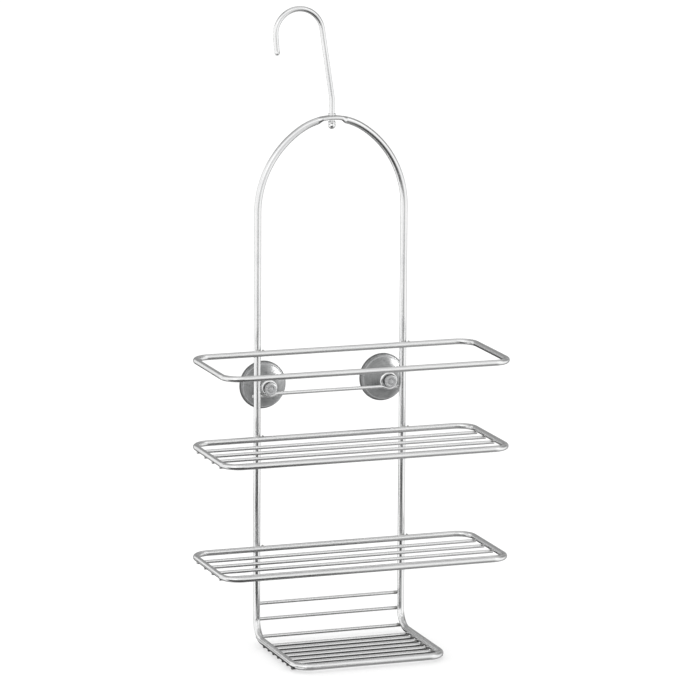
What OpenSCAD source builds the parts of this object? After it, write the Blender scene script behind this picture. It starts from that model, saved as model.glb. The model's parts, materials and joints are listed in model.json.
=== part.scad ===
// Hanging wire caddy: a bent main frame, a top rail, two wide shelves, a narrow soap shelf,
// a swivel hook at the crown and two suction cups. X runs across, +Y faces the wall, Z is up.
// The origin is the middle of the footprint, on the surface the caddy stands on.

/* [Wire] */
// Diameter of the thick wire of the main frame
frame_wire = 6; // [5:0.5:7]
// Diameter of the rail wire of the rings
rail_wire = 5; // [4:0.5:6]
// Diameter of the thin wire of the floors, the back and the suction bar
thin_wire = 3; // [2.5:0.25:3.5]
// Diameter of the hook's wire
hook_wire = 4.5; // [4:0.25:5]
// How far two crossing wires sink into each other at a weld
weld_set = 0.4; // [0.2:0.1:0.6]
// How far a floor wire sinks into the rail above it
floor_set = 0.8; // [0.4:0.1:1]

/* [Main frame] */
// Distance between the axes of the two uprights
upright_spacing = 133; // [125:1:145]
// Height of the crown's wire axis above the base
crown_height = 456.3; // [430:1:480]
// Height of the arch from its springing to the crown
arch_rise = 78.5; // [72:0.5:85]
// Radius of the upper arc of the arch
crown_radius = 52; // [48:1:56]
// Half angle of the pressed flat at the crown
flat_half_angle = 12; // [11:0.5:16]
// Thickness of the pressed flat
flat_thickness = 3.4; // [3:0.1:4]
// Width of the pressed flat
flat_width = 9; // [8.5:0.1:10]
// Radius of the forward bend at the foot of each upright
foot_bend = 17; // [14:1:20]
// Distance from the uprights' plane to the axis of the soap shelf's front rail
soap_depth = 109.5; // [105:0.5:118]
// Corner radius of the soap shelf
soap_corner = 14; // [11:1:18]

/* [Rings and floors] */
// Width of each ring, between the axes of its side rails
ring_width = 255; // [240:1:270]
// Depth of each ring, between the axes of its long rails
ring_depth = 98; // [94:1:100]
// Corner radius of each ring
ring_corner = 15; // [12:1:22]
// Height of the lower ring above the base
lower_ring_height = 84.5; // [75:1:95]
// Height of the middle ring above the base
middle_ring_height = 181.3; // [170:1:190]
// Height of the top ring above the base
top_ring_height = 256.4; // [252:1:270]
// Number of wires in the middle and lower floors
shelf_wires = 4; // [2:1:6]
// Distance from a ring's rear rail axis to the first floor wire
rear_gap = 16.9; // [14:0.1:20]
// Distance from the last floor wire to the ring's front rail axis
front_gap = 19.9; // [16:0.1:24]
// How far the ends of those wires stop short of the side rails' outer line
end_inset = 2; // [0:0.1:2.5]
// Number of wires in the soap shelf's floor
soap_wires = 7; // [4:1:7]
// Distance between the soap shelf's floor wires
soap_pitch = 12.4; // [11:0.2:12.6]
// Distance from the front rail's axis to the nearest soap wire
soap_first = 15.2; // [13:0.2:16]
// How far the ends of the soap wires stop short of the main frame's outer line
soap_end_inset = 2.5; // [0:0.1:3]
// Height of the upper back wire above the soap shelf's rails
back_wire_height = 28.4; // [24:0.2:34]
// Angle round the foot bend, from the level, of the second back wire
second_back_angle = 7; // [4:1:20]
// The same angle of the third back wire
third_back_angle = 51; // [40:1:60]

/* [Suction bar and cups] */
// Height of the suction bar above the base
bar_height = 219.4; // [215:0.2:222]
// Distance of each cup's axis from the middle
cup_offset = 55; // [50:0.5:55]
// Radius of each eyelet's wire axis
eyelet_radius = 6.4; // [6:0.1:6.4]
// How far the bar dips before it winds into an eyelet
bar_dip = 1.8; // [1:0.1:2.4]
// Radius of the two small bends in the dip
dip_bend = 9; // [8:0.5:12]
// Distance between the turns of an eyelet
eyelet_pitch = 3.1; // [3.05:0.05:3.3]
// Radius of the suction cup at its rim
cup_radius = 21; // [20:0.5:22]
// Distance from the uprights' plane to the rim's face
cup_reach = 20.7; // [20:0.1:22]
// Radius of the cup's button head
cup_head_radius = 5.5; // [5.3:0.1:5.8]
// Radius of the domed front of the skirt
dome_radius = 22.8; // [22.5:0.1:23.2]
// Radius of the hollow
hollow_radius = 21; // [20.6:0.1:21.2]
// Thickness of the flat lip round the rim
lip_thickness = 1.3; // [1:0.1:1.6]

/* [Hook] */
// Sideways distance from the pivot to the hook's crest
hook_offset = 30; // [26:1:34]
// Height of the hook's crest, at the wire's axis, above the base
hook_crest = 551.6; // [540:0.2:560]
// Radius of the hook's wire axis
hook_radius = 21; // [18:1:24]
// Height above the crown at which the stem starts to lean
lean_start = 18; // [14:1:24]
// Radius of the bend into the lean
lean_bend = 20; // [15:1:30]
// Angle past the half turn at which the hook's arc ends
hook_overturn = 6; // [0:1:12]
// Length of the straight tip of the hook
hook_tip = 16; // [10:1:22]
// Radial clearance of the stem in the crown's hole
stem_clearance = 0.05; // [0.02:0.01:0.1]
// Diameter of the collar above the crown
collar_diameter = 6.6; // [6:0.1:7.5]
// Thickness of the collar
collar_thickness = 1.5; // [1:0.1:2]
// Diameter of the acorn cap below the crown
cap_diameter = 6.4; // [6:0.1:7]
// Length of the acorn cap
cap_length = 6.5; // [6:0.1:8]

/* [Hidden] */
$fn = 64;

steel = [0.78, 0.79, 0.8];
vinyl = [0.6, 0.62, 0.63, 0.85];

frame_r = frame_wire / 2;
thin_r = thin_wire / 2;

// Runs of one wire stop this far short of each other, and a bead this much proud joins them
joint_gap = 0.05;
bead_proud = 0.02;
// How far a cut runs past the surface that it opens
cut_margin = 1;

// Distance between the axes of two crossing wires where they are welded
frame_to_thin = frame_r + thin_r - weld_set;
frame_to_floor = frame_r + thin_r - floor_set;
rail_to_floor = rail_wire / 2 + thin_r - floor_set;
frame_to_rail = frame_r + rail_wire / 2 - weld_set;

// The footprint reaches from the soap shelf's front rail to the cups' rims
front_reach = soap_depth + frame_r;
upright_y = (front_reach - cup_reach) / 2;
upright_x = upright_spacing / 2;
soap_z = thin_wire + frame_r - floor_set;
soap_front_y = upright_y - soap_depth;

// The arch has two side arcs and one upper arc, tangent to each other
spring_z = crown_height - arch_rise;
upper_centre_rise = arch_rise - crown_radius;
side_inset = upright_x - crown_radius;
side_centre = (upper_centre_rise * upper_centre_rise - side_inset * side_inset) / (2 * side_inset);
side_radius = upright_x + side_centre;
arch_turn = atan2(upper_centre_rise, side_centre);

// The flat lies just under the wire's outer line
flat_drop = 0.4;
// Angle over which the round wire runs on into the flat
flat_lap = 1.2;
flat_radius = crown_radius + frame_r - flat_drop - flat_thickness / 2;
flat_top = crown_height + frame_r - flat_drop;
flat_bottom = flat_top - flat_thickness;

// Rings
ring_rear_y = upright_y - frame_to_rail;
ring_centre_y = ring_rear_y - ring_depth / 2;
floor_pitch = (ring_depth - rear_gap - front_gap) / (shelf_wires - 1);

// Eyelets: each is two half turns, tilted opposite ways, so that the wire moves back by one pitch
tail_y = upright_y + frame_to_thin;
bar_y = tail_y - eyelet_pitch;
eyelet_z = bar_height - bar_dip + eyelet_radius;
eyelet_tilt = atan2(eyelet_pitch / 4, eyelet_radius);
half_turn_radius = eyelet_radius / cos(eyelet_tilt);
dip_angle = acos(1 - bar_dip / (2 * dip_bend));
dip_run = 2 * dip_bend * sin(dip_angle);

// Suction cup, measured along its axis from the uprights' plane towards the wall
cup_running_gap = 0.08;
neck_radius = eyelet_radius - thin_r - cup_running_gap;
coil_front = bar_y - upright_y - thin_r;
coil_back = tail_y - upright_y + thin_r;
head_gap = 0.3;
head_thickness = 2.8;
head_back = coil_front - head_gap;
shoulder_front = coil_back + head_gap;
shoulder_radius = 7;
shoulder_thickness = 2;
dome_centre = 29.2;
hollow_centre = 30.3;

// Hook: the lean is the angle that makes the stem tangent to the hook's arc
hook_r = hook_wire / 2;
arc_z = hook_crest - hook_radius;
lean_z = crown_height + lean_start;
lean_length = norm([hook_offset, arc_z - lean_z]);
lean = acos(hook_radius / lean_length) - atan2(arc_z - lean_z, hook_offset);
lean_tangent = lean_bend * tan(lean / 2);
stem_straight = sqrt(lean_length * lean_length - hook_radius * hook_radius) - lean_tangent;
collar_gap = 0.3;
cap_gap = 1.6;
cap_top = flat_bottom - cap_gap;
cap_bottom = cap_top - cap_length;
cap_socket = 4;

shelf_numbers = [1 : shelf_wires];

// A straight wire along X, centred on the middle plane
module cross_wire(length, y, z) {
    translate([-length / 2, y, z]) rotate([0, 90, 0]) cylinder(d = thin_wire, h = length);
}

// A bent wire in the XY plane, about the origin
module arc_wire(radius, start, sweep, wire) {
    rotate([0, 0, start])
        rotate_extrude(angle = sweep)
            translate([radius, 0]) circle(d = wire);
}

// A straight run of a longer wire, along Z, a hair short at both ends
module straight_run(length, wire) {
    translate([0, 0, joint_gap]) cylinder(d = wire, h = length - 2 * joint_gap);
}

// A bent run of a longer wire, a hair short at both ends, with a bead that joins it to the next run
module bent_run(radius, start, sweep, wire, start_bead = true, end_bead = true) {
    trim = joint_gap / radius * 180 / PI;
    arc_wire(radius, start + trim, sweep - 2 * trim, wire);
    if (start_bead) rotate([0, 0, start]) translate([radius, 0, 0]) bead(wire);
    if (end_bead) rotate([0, 0, start + sweep]) translate([radius, 0, 0]) bead(wire);
}

module bead(wire) {
    sphere(r = wire / 2 + bead_proud);
}

module mirrored_pair() {
    children();
    mirror([1, 0, 0]) children();
}

// One closed ring of rail wire
module ring(height) {
    long_run = ring_width - 2 * ring_corner;
    short_run = ring_depth - 2 * ring_corner;
    color(steel)
        translate([0, ring_centre_y, height]) {
            for (side = [-1, 1]) {
                translate([-long_run / 2, side * ring_depth / 2, 0])
                    rotate([0, 90, 0]) cylinder(d = rail_wire, h = long_run);
                translate([side * ring_width / 2, short_run / 2, 0])
                    rotate([90, 0, 0]) cylinder(d = rail_wire, h = short_run);
            }
            for (corner = [[1, 1, 0], [-1, 1, 90], [-1, -1, 180], [1, -1, 270]])
                translate([corner[0] * long_run / 2, corner[1] * short_run / 2, 0])
                    arc_wire(ring_corner, corner[2], 90, rail_wire);
        }
}

// Right half of the arch, from the pressed flat down to the springing
module arch_half() {
    upper_sweep = 90 - flat_half_angle + flat_lap - arch_turn;
    translate([0, upright_y, crown_height - crown_radius])
        rotate([90, 0, 0])
            bent_run(crown_radius, arch_turn, upper_sweep, frame_wire, end_bead = false);
    translate([-side_centre, upright_y, spring_z])
        rotate([90, 0, 0])
            bent_run(side_radius, 0, arch_turn, frame_wire, end_bead = false);
}

// Right upright, its foot bend, and the side rail and front corner of the soap shelf
module frame_side() {
    foot_z = soap_z + foot_bend;
    rail_length = soap_depth - foot_bend - soap_corner;
    translate([upright_x, upright_y, foot_z]) straight_run(spring_z - foot_z, frame_wire);
    translate([upright_x, upright_y - foot_bend, foot_z])
        rotate([90, 0, 90]) bent_run(foot_bend, 270, 90, frame_wire);
    translate([upright_x, upright_y - foot_bend, soap_z])
        rotate([90, 0, 0]) straight_run(rail_length, frame_wire);
    translate([upright_x - soap_corner, soap_front_y + soap_corner, soap_z])
        bent_run(soap_corner, 270, 90, frame_wire);
}

// The part of the crown that is pressed flat and drilled for the hook
module crown_flat() {
    difference() {
        translate([0, upright_y, crown_height - crown_radius])
            rotate([90, 0, 0])
                rotate([0, 0, 90 - flat_half_angle])
                    rotate_extrude(angle = 2 * flat_half_angle)
                        translate([flat_radius, 0]) {
                            square([flat_thickness, flat_width - flat_thickness], center = true);
                            for (edge = [-1, 1])
                                translate([0, edge * (flat_width - flat_thickness) / 2])
                                    circle(d = flat_thickness);
                        }
        translate([0, upright_y, crown_height - frame_wire])
            cylinder(r = hook_r + stem_clearance, h = 2 * frame_wire);
    }
}

module main_frame() {
    front_length = upright_spacing - 2 * soap_corner;
    color(steel) {
        mirrored_pair() {
            arch_half();
            frame_side();
        }
        translate([-front_length / 2, soap_front_y, soap_z])
            rotate([0, 90, 0]) straight_run(front_length, frame_wire);
        crown_flat();
    }
}

module top_rail_ring() {
    ring(top_ring_height);
}

module middle_shelf_rim() {
    ring(middle_ring_height);
}

module lower_shelf_rim() {
    ring(lower_ring_height);
}

// Floor wire number i of a wide shelf, counted from the back
module shelf_floor_wire(i, height) {
    color(steel)
        cross_wire(
            ring_width + rail_wire - 2 * end_inset,
            ring_rear_y - rear_gap - floor_pitch * (i - 1),
            height - rail_to_floor
        );
}

// Floor wire number i of the soap shelf, counted from the front
module soap_floor_wire(i) {
    color(steel)
        cross_wire(
            upright_spacing + frame_wire - 2 * soap_end_inset,
            soap_front_y + soap_first + soap_pitch * (i - 1),
            soap_z - frame_to_floor
        );
}

// Back wire number i, counted from the top: one on the uprights, two round the foot bend
module back_wire(i) {
    length = upright_spacing + thin_wire;
    if (i == 1) {
        color(steel) cross_wire(length, tail_y, soap_z + back_wire_height);
    } else {
        angle = i == 2 ? second_back_angle : third_back_angle;
        reach = foot_bend + frame_to_thin;
        color(steel)
            cross_wire(
                length,
                upright_y - foot_bend + reach * cos(angle),
                soap_z + foot_bend - reach * sin(angle)
            );
    }
}

// One end of the suction bar: the dip, the eyelet and the tail welded to the upright
module suction_bar_end() {
    tail_length = upright_x + frame_r - cup_offset;
    translate([cup_offset - dip_run, bar_y, bar_height - dip_bend])
        rotate([90, 0, 0]) bent_run(dip_bend, 90 - dip_angle, dip_angle, thin_wire);
    translate([cup_offset, bar_y, bar_height - bar_dip + dip_bend])
        rotate([90, 0, 0])
            bent_run(dip_bend, 270 - dip_angle, dip_angle, thin_wire, start_bead = false);
    translate([cup_offset, bar_y + eyelet_pitch / 4, eyelet_z])
        rotate([90 - eyelet_tilt, 0, 0])
            bent_run(half_turn_radius, 270, 180, thin_wire, start_bead = false);
    translate([cup_offset, tail_y - eyelet_pitch / 4, eyelet_z])
        rotate([90 + eyelet_tilt, 0, 0])
            bent_run(half_turn_radius, 90, 180, thin_wire, start_bead = false);
    translate([cup_offset, tail_y, eyelet_z - eyelet_radius])
        rotate([0, 90, 0]) straight_run(tail_length, thin_wire);
}

module suction_bar() {
    straight_length = 2 * (cup_offset - dip_run);
    color(steel) {
        translate([-straight_length / 2, bar_y, bar_height])
            rotate([0, 90, 0]) straight_run(straight_length, thin_wire);
        mirrored_pair() suction_bar_end();
    }
}

// Half of the cup's section: X is the distance from its axis, Y runs towards the wall
module cup_section() {
    head_round = head_thickness / 2;
    head_front = head_back - head_thickness;
    head_flat = cup_head_radius - head_round;
    neck_length = shoulder_front - head_back + 2 * head_round;
    lip_front = cup_reach - lip_thickness;
    difference() {
        union() {
            intersection() {
                translate([0, dome_centre]) circle(r = dome_radius);
                translate([0, shoulder_front]) square([cup_radius, cup_reach - shoulder_front]);
            }
            translate([0, shoulder_front]) square([shoulder_radius, shoulder_thickness]);
            translate([0, lip_front]) square([cup_radius, lip_thickness]);
            translate([0, head_back - head_round]) square([neck_radius, neck_length]);
            translate([0, head_front]) square([head_flat, head_thickness]);
            translate([head_flat, head_back - head_round]) circle(r = head_round);
        }
        translate([0, hollow_centre]) circle(r = hollow_radius);
        translate([-dome_radius, head_front]) square([dome_radius, 2 * dome_radius + cup_reach]);
    }
}

module suction_cup(side) {
    color(vinyl)
        translate([side * cup_offset, upright_y, eyelet_z])
            rotate([-90, 0, 0]) rotate_extrude() cup_section();
}

module left_suction_cup() {
    suction_cup(-1);
}

module right_suction_cup() {
    suction_cup(1);
}

// The hook's wire: a stem through the crown, a slight lean, the arc and a straight tip
module swivel_hook() {
    stem_bottom = cap_top - cap_socket;
    bend_z = lean_z - lean_tangent;
    arc_end = 180 + hook_overturn;
    color(steel)
        translate([0, upright_y, 0]) {
            translate([0, 0, stem_bottom]) straight_run(bend_z - stem_bottom, hook_wire);
            translate([-lean_bend, 0, bend_z])
                rotate([90, 0, 0]) bent_run(lean_bend, 0, lean, hook_wire);
            translate([-lean_bend * (1 - cos(lean)), 0, bend_z + lean_bend * sin(lean)])
                rotate([0, -lean, 0]) straight_run(stem_straight, hook_wire);
            translate([-hook_offset, 0, arc_z]) {
                rotate([90, 0, 0]) bent_run(hook_radius, lean, arc_end - lean, hook_wire);
                translate([hook_radius * cos(arc_end), 0, hook_radius * sin(arc_end)])
                    rotate([0, 180 - hook_overturn, 0]) {
                        straight_run(hook_tip, hook_wire);
                        translate([0, 0, hook_tip]) bead(hook_wire);
                    }
            }
        }
}

// Ring pressed on the stem just above the crown
module hook_collar() {
    color(steel)
        translate([0, upright_y, flat_top + collar_gap])
            difference() {
                cylinder(d = collar_diameter, h = collar_thickness);
                translate([0, 0, -cut_margin])
                    cylinder(d = hook_wire, h = collar_thickness + 2 * cut_margin);
            }
}

// Acorn cap pressed on the stem's end, which keeps the hook in the crown
module hook_end_cap() {
    round_radius = cap_diameter / 2;
    color(steel)
        translate([0, upright_y, 0])
            difference() {
                union() {
                    translate([0, 0, cap_bottom + round_radius])
                        cylinder(d = cap_diameter, h = cap_length - round_radius);
                    translate([0, 0, cap_bottom + round_radius]) sphere(r = round_radius);
                }
                translate([0, 0, cap_top - cap_socket])
                    cylinder(d = hook_wire, h = cap_socket + cut_margin);
            }
}

main_frame();
top_rail_ring();
middle_shelf_rim();
lower_shelf_rim();
for (i = shelf_numbers) {
    shelf_floor_wire(i, middle_ring_height);
    shelf_floor_wire(i, lower_ring_height);
}
for (i = [1 : soap_wires])
    soap_floor_wire(i);
for (i = [1 : 3])
    back_wire(i);
suction_bar();
left_suction_cup();
right_suction_cup();
swivel_hook();
hook_collar();
hook_end_cap();
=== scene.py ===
"""Wire shower caddy: bent satin wire, a swivel hook and two vinyl suction cups.

Lengths are metres. X runs across the caddy, +Y faces the wall and Z is up.
"""
import json
import math

import bmesh
import bpy
import numpy as np
from mathutils import Matrix, Vector, noise


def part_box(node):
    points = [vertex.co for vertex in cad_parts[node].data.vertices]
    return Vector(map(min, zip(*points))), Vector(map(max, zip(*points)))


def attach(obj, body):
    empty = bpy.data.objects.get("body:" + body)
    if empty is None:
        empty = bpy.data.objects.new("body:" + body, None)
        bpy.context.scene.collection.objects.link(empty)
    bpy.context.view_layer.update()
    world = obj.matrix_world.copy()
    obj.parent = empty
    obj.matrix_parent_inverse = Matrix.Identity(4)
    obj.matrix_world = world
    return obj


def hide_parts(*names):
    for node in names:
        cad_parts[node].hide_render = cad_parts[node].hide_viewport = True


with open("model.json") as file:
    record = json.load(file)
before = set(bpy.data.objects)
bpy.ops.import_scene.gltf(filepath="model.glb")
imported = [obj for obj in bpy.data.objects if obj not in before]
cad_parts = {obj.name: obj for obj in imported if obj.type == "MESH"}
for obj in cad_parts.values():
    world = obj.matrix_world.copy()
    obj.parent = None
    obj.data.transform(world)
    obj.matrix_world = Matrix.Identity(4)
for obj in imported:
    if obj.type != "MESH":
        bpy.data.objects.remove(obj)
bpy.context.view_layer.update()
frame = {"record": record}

MM = 0.001

# Wire radii and bends of the rings, the soap shelf and the feet, to the middle of the wire
FRAME_R = 3.0 * MM
HOOK_R = 2.25 * MM
RING_CORNER = 15 * MM
SOAP_CORNER = 14 * MM
FOOT_BEND = 17 * MM

# Arch: its rise over the straight uprights and the radius of its top
ARCH_RISE = 78.5 * MM
CROWN_RADIUS = 52 * MM

# The flat pressed into the crown: half length, fade into round wire, half sizes, and the drop of its
# top below the round wire's top
FLAT_HALF = 8.6 * MM
FLAT_FADE = 4.6 * MM
FLAT_HALF_THICK = 1.7 * MM
FLAT_HALF_WIDE = 4.5 * MM
FLAT_DROP = 0.4 * MM

# The exponent of a wire's section: 2 is round, and the flat's is this much higher, so squarer
ROUND_POWER = 2
FLAT_SQUARER = 2.2

# The wire this close under the crown may be pressed flat; the hole's play round the stem; the drill
CROWN_BAND = 10 * MM
HOLE_PLAY = 0.05 * MM
DRILL_LENGTH = 20 * MM

# Hook: radius of its arc, bend between stem and lean, height of that bend over the crown,
# degrees past the half turn, straight tip and eased ends
HOOK_RADIUS = 21 * MM
LEAN_BEND = 20 * MM
LEAN_HEIGHT = 18 * MM
OVERTURN = 6.0
TIP_LENGTH = 16 * MM
HOOK_END_EASE = 2.0 * MM

# Suction bar: eyelets, and the double bend that leads down to them
EYELET_R = 6.4 * MM
BAR_DIP = 1.8 * MM
DIP_BEND = 9 * MM
EYELET_STEPS = 72

# The most of a wire's radius that its eased end may take up
MOST_EASED = 0.9

# Segments round the pieces, and the longest steps along straight and bent wire
FRAME_SIDES = 48
RAIL_SIDES = 40
HOOK_SIDES = 40
THIN_SIDES = 28
CUP_SIDES = 128
TURNED_SIDES = 64
STEP = 2.0 * MM
BEND_STEP = 0.6 * MM
HOOK_STEP = 0.5 * MM
FINE_STEP = 0.4 * MM

X_AXIS = Vector((1, 0, 0))
Y_AXIS = Vector((0, 1, 0))
Z_AXIS = Vector((0, 0, 1))
SIDES = (-1, 1)

RINGS = ("top_rail_ring", "middle_shelf_rim", "lower_shelf_rim")
MIDDLE_FLOOR = [f"middle_floor_wire_{i}" for i in range(1, 5)]
LOWER_FLOOR = [f"lower_floor_wire_{i}" for i in range(1, 5)]
SOAP_FLOOR = [f"soap_floor_wire_{i}" for i in range(1, 8)]
BACK_WIRES = [f"back_wire_{i}" for i in range(1, 4)]


# ---------------------------------------------------------------- places read from the frame

def corners_of(node_name):
    """The low and the high corner of a CAD node's box."""
    return [Vector(corner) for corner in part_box(node_name)]


def centre(node_name):
    """The middle of a CAD node's box."""
    low, high = corners_of(node_name)
    return (low + high) / 2


def size(node_name):
    """The three lengths of a CAD node's box."""
    low, high = corners_of(node_name)
    return high - low


JOINTS = {j["name"]: j for j in frame["record"]["behaviour"]["joints"]}
PIVOT = Vector(JOINTS["hook_swivel"]["pos_m"])
CUP_AXIS = Vector(JOINTS["right_cup_turn"]["pos_m"])
UPRIGHT_Y = PIVOT.y
CROWN_Z = PIVOT.z
UPRIGHT_X = size("main_frame").x / 2 - FRAME_R
SOAP_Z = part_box("main_frame")[0][2] + FRAME_R
SOAP_FRONT_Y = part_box("main_frame")[0][1] + FRAME_R
RAIL_R = size("top_rail_ring").z / 2
THIN_R = size("soap_floor_wire_1").z / 2


# ---------------------------------------------------------------- paths

def line(a, b, step=STEP):
    """Points from a to b, both included."""
    a, b = Vector(a), Vector(b)
    count = max(1, round((b - a).length / step))
    return [a.lerp(b, i / count) for i in range(count + 1)]


def arc(middle, across, up, radius, start, end, step=BEND_STEP):
    """Points round a circle, from angle start to end in degrees; across is 0 and up is 90."""
    middle = Vector(middle)
    sweep = math.radians(end - start)
    count = max(4, round(abs(sweep) * radius / step))
    points = []
    for i in range(count + 1):
        angle = math.radians(start) + sweep * i / count
        points.append(middle + radius * (math.cos(angle) * across + math.sin(angle) * up))
    return points


def chain(*runs, closed=False):
    """One path from several runs, without doubled points."""
    same = 1e-6
    path = []
    for run in runs:
        for p in run:
            if not path or (p - path[-1]).length > same:
                path.append(p)
    if closed and (path[0] - path[-1]).length < same:
        path.pop()
    return path


def mirrored(points):
    """The other half of a path that is the same on both sides of the middle."""
    return [Vector((-p.x, p.y, p.z)) for p in reversed(points)]


# ---------------------------------------------------------------- objects from meshes

def linked(name, data):
    """A new object for a mesh, light or camera, in the scene."""
    made = bpy.data.objects.new(name, data)
    bpy.context.scene.collection.objects.link(made)
    return made


def piece_from(name, bm):
    """Turns a finished bmesh into an object in the scene."""
    mesh = bpy.data.meshes.new(name)
    bm.to_mesh(mesh)
    bm.free()
    return linked(name, mesh)


# ---------------------------------------------------------------- wire meshes

def tangents(path, closed):
    """The direction of the path at each of its points."""
    count = len(path)
    found = []
    for i in range(count):
        before = path[i - 1] if closed or i else path[0]
        after = path[(i + 1) % count] if closed or i < count - 1 else path[-1]
        found.append((after - before).normalized())
    return found


def untwisted(pairs, along):
    """Spreads the twist that is left at the seam of a closed path over all its points."""
    turn = along[-1].rotation_difference(along[0])
    last = turn @ pairs[-1][0]
    first, side = pairs[0]
    twist = math.atan2(last.dot(side), last.dot(first))
    spread = []
    for i, (n, b) in enumerate(pairs):
        angle = -twist * i / len(pairs)
        spread.append((
            math.cos(angle) * n + math.sin(angle) * b,
            math.cos(angle) * b - math.sin(angle) * n,
        ))
    return spread


def frames(path, closed, hint):
    """Two cross directions at each point of the path, without twist; the first starts near hint."""
    along = tangents(path, closed)
    normal = (hint - hint.dot(along[0]) * along[0]).normalized()
    pairs = []
    for i, t in enumerate(along):
        if i:
            turn = along[i - 1].rotation_difference(t)
            normal = turn @ normal
            normal = (normal - normal.dot(t) * t).normalized()
        pairs.append((normal.copy(), t.cross(normal)))
    return untwisted(pairs, along) if closed else pairs


def rounded_ends(path, radius, edge):
    """Adds points close to both ends of an open path, and gives the radius at every point."""
    steps = 5
    first = (path[1] - path[0]).normalized()
    last = (path[-2] - path[-1]).normalized()
    head, tail, sizes = [], [], []
    for i in range(steps):
        angle = math.pi / 2 * i / steps
        depth = edge * (1 - math.cos(angle))
        head.append(path[0] + first * depth)
        tail.append(path[-1] + last * depth)
        sizes.append(radius - edge + edge * math.sin(angle))
    inner = [p for p in path if (p - path[0]).length > edge and (p - path[-1]).length > edge]
    inner = [path[0] + first * edge] + inner + [path[-1] + last * edge]
    return head + inner + tail[::-1], sizes + [radius] * len(inner) + sizes[::-1]


def round_section(point, radius):
    """A section's half sizes in the two cross directions, its exponent and its shift."""
    return radius, radius, ROUND_POWER, Vector()


def sweep_ring(bm, point, pair, shape, sides):
    """One ring of corners round the wire at this point of its path."""
    normal, side = pair
    high, wide, power, shift = shape
    ring = []
    for k in range(sides):
        angle = 2 * math.pi * k / sides
        c, s = math.cos(angle), math.sin(angle)
        c = math.copysign(abs(c) ** (2 / power), c)
        s = math.copysign(abs(s) ** (2 / power), s)
        ring.append(bm.verts.new(point + shift + high * c * normal + wide * s * side))
    return ring


def sweep_sides(bm, uv, rings, lengths, around, closed):
    """The faces along the wire; their texture places are metres along it and round it."""
    sides = len(rings[0])
    spans = len(rings) if closed else len(rings) - 1
    for i in range(spans):
        here, there = rings[i], rings[(i + 1) % len(rings)]
        u0, u1 = lengths[i], lengths[i + 1]
        for k in range(sides):
            n = (k + 1) % sides
            face = bm.faces.new((here[k], here[n], there[n], there[k]))
            face.smooth = True
            v0, v1 = around * k / sides, around * (k + 1) / sides
            for loop, place in zip(face.loops, ((u0, v0), (u0, v1), (u1, v1), (u1, v0))):
                loop[uv].uv = place


def sweep_end(bm, uv, ring, point, pair, flip):
    """The flat face, in thin wedges, that closes one end of an open wire."""
    normal, side = pair
    sides = len(ring)
    middle = bm.verts.new(point)
    for k in range(sides):
        n = (k + 1) % sides
        corners = (ring[n], ring[k], middle) if flip else (ring[k], ring[n], middle)
        face = bm.faces.new(corners)
        face.smooth = False
        for loop in face.loops:
            offset = loop.vert.co - point
            loop[uv].uv = (offset.dot(normal), offset.dot(side))


def wire(name, path, radius, sides, closed=False, hint=Z_AXIS, section=round_section, edge=0.35 * MM):
    """A wire swept along a path. An open wire's ends are eased over the length edge."""
    sizes = [radius] * len(path)
    if not closed:
        path, sizes = rounded_ends(path, radius, min(edge, radius * MOST_EASED))
    pairs = frames(path, closed, hint)
    lengths = [0.0]
    for i in range(1, len(path) + 1):
        lengths.append(lengths[-1] + (path[i % len(path)] - path[i - 1]).length)
    bm = bmesh.new()
    uv = bm.loops.layers.uv.new("along_wire")
    rings = [
        sweep_ring(bm, p, pairs[i], section(p, sizes[i]), sides) for i, p in enumerate(path)
    ]
    sweep_sides(bm, uv, rings, lengths, 2 * math.pi * radius, closed)
    if not closed:
        sweep_end(bm, uv, rings[0], path[0], pairs[0], True)
        sweep_end(bm, uv, rings[-1], path[-1], pairs[-1], False)
    return piece_from(name, bm)


# ---------------------------------------------------------------- material nodes

def new_material(name):
    """A material with its node tree and its main shader."""
    material = bpy.data.materials.new(name)
    material.use_nodes = True
    tree = material.node_tree
    return material, tree, tree.nodes["Principled BSDF"]


def node(tree, kind, **settings):
    """A new node; a setting is the value of the input with that name, or else a property."""
    made = tree.nodes.new(kind)
    for key, value in settings.items():
        if key in made.inputs:
            made.inputs[key].default_value = value
        else:
            setattr(made, key, value)
    return made


def link(tree, source, socket):
    tree.links.new(source, socket)


def ramp(tree, source, low, high, low_value, high_value):
    """Maps source from the range low..high to the two values, smoothly."""
    made = tree.nodes.new("ShaderNodeMapRange")
    made.interpolation_type = "SMOOTHSTEP"
    made.inputs["From Min"].default_value = low
    made.inputs["From Max"].default_value = high
    made.inputs["To Min"].default_value = low_value
    made.inputs["To Max"].default_value = high_value
    link(tree, source, made.inputs["Value"])
    return made.outputs["Result"]


def maths(tree, operation, a, b=0.0):
    """A sum of two sockets or numbers; SINE and ABSOLUTE use the first one only."""
    made = tree.nodes.new("ShaderNodeMath")
    made.operation = operation
    for socket, value in zip(made.inputs, (a, b)):
        if isinstance(value, (int, float)):
            socket.default_value = value
        else:
            link(tree, value, socket)
    return made.outputs[0]


def mix_colour(tree, factor, a, b):
    """Goes from a to b with factor; both are a colour or a socket."""
    made = tree.nodes.new("ShaderNodeMix")
    made.data_type = "RGBA"
    link(tree, factor, made.inputs["Factor"])
    for socket, value in ((made.inputs["A"], a), (made.inputs["B"], b)):
        if isinstance(value, tuple):
            socket.default_value = value
        else:
            link(tree, value, socket)
    return made.outputs["Result"]


def noise_at(tree, coordinates, scale, detail, stretch=(1, 1, 1)):
    """Soft noise; stretch sets how much finer it is along each axis."""
    mapping = node(tree, "ShaderNodeMapping", Scale=stretch)
    link(tree, coordinates, mapping.inputs["Vector"])
    texture = node(tree, "ShaderNodeTexNoise", Scale=scale, Detail=detail, Roughness=0.55)
    link(tree, mapping.outputs["Vector"], texture.inputs["Vector"])
    return texture.outputs["Fac"]


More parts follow.
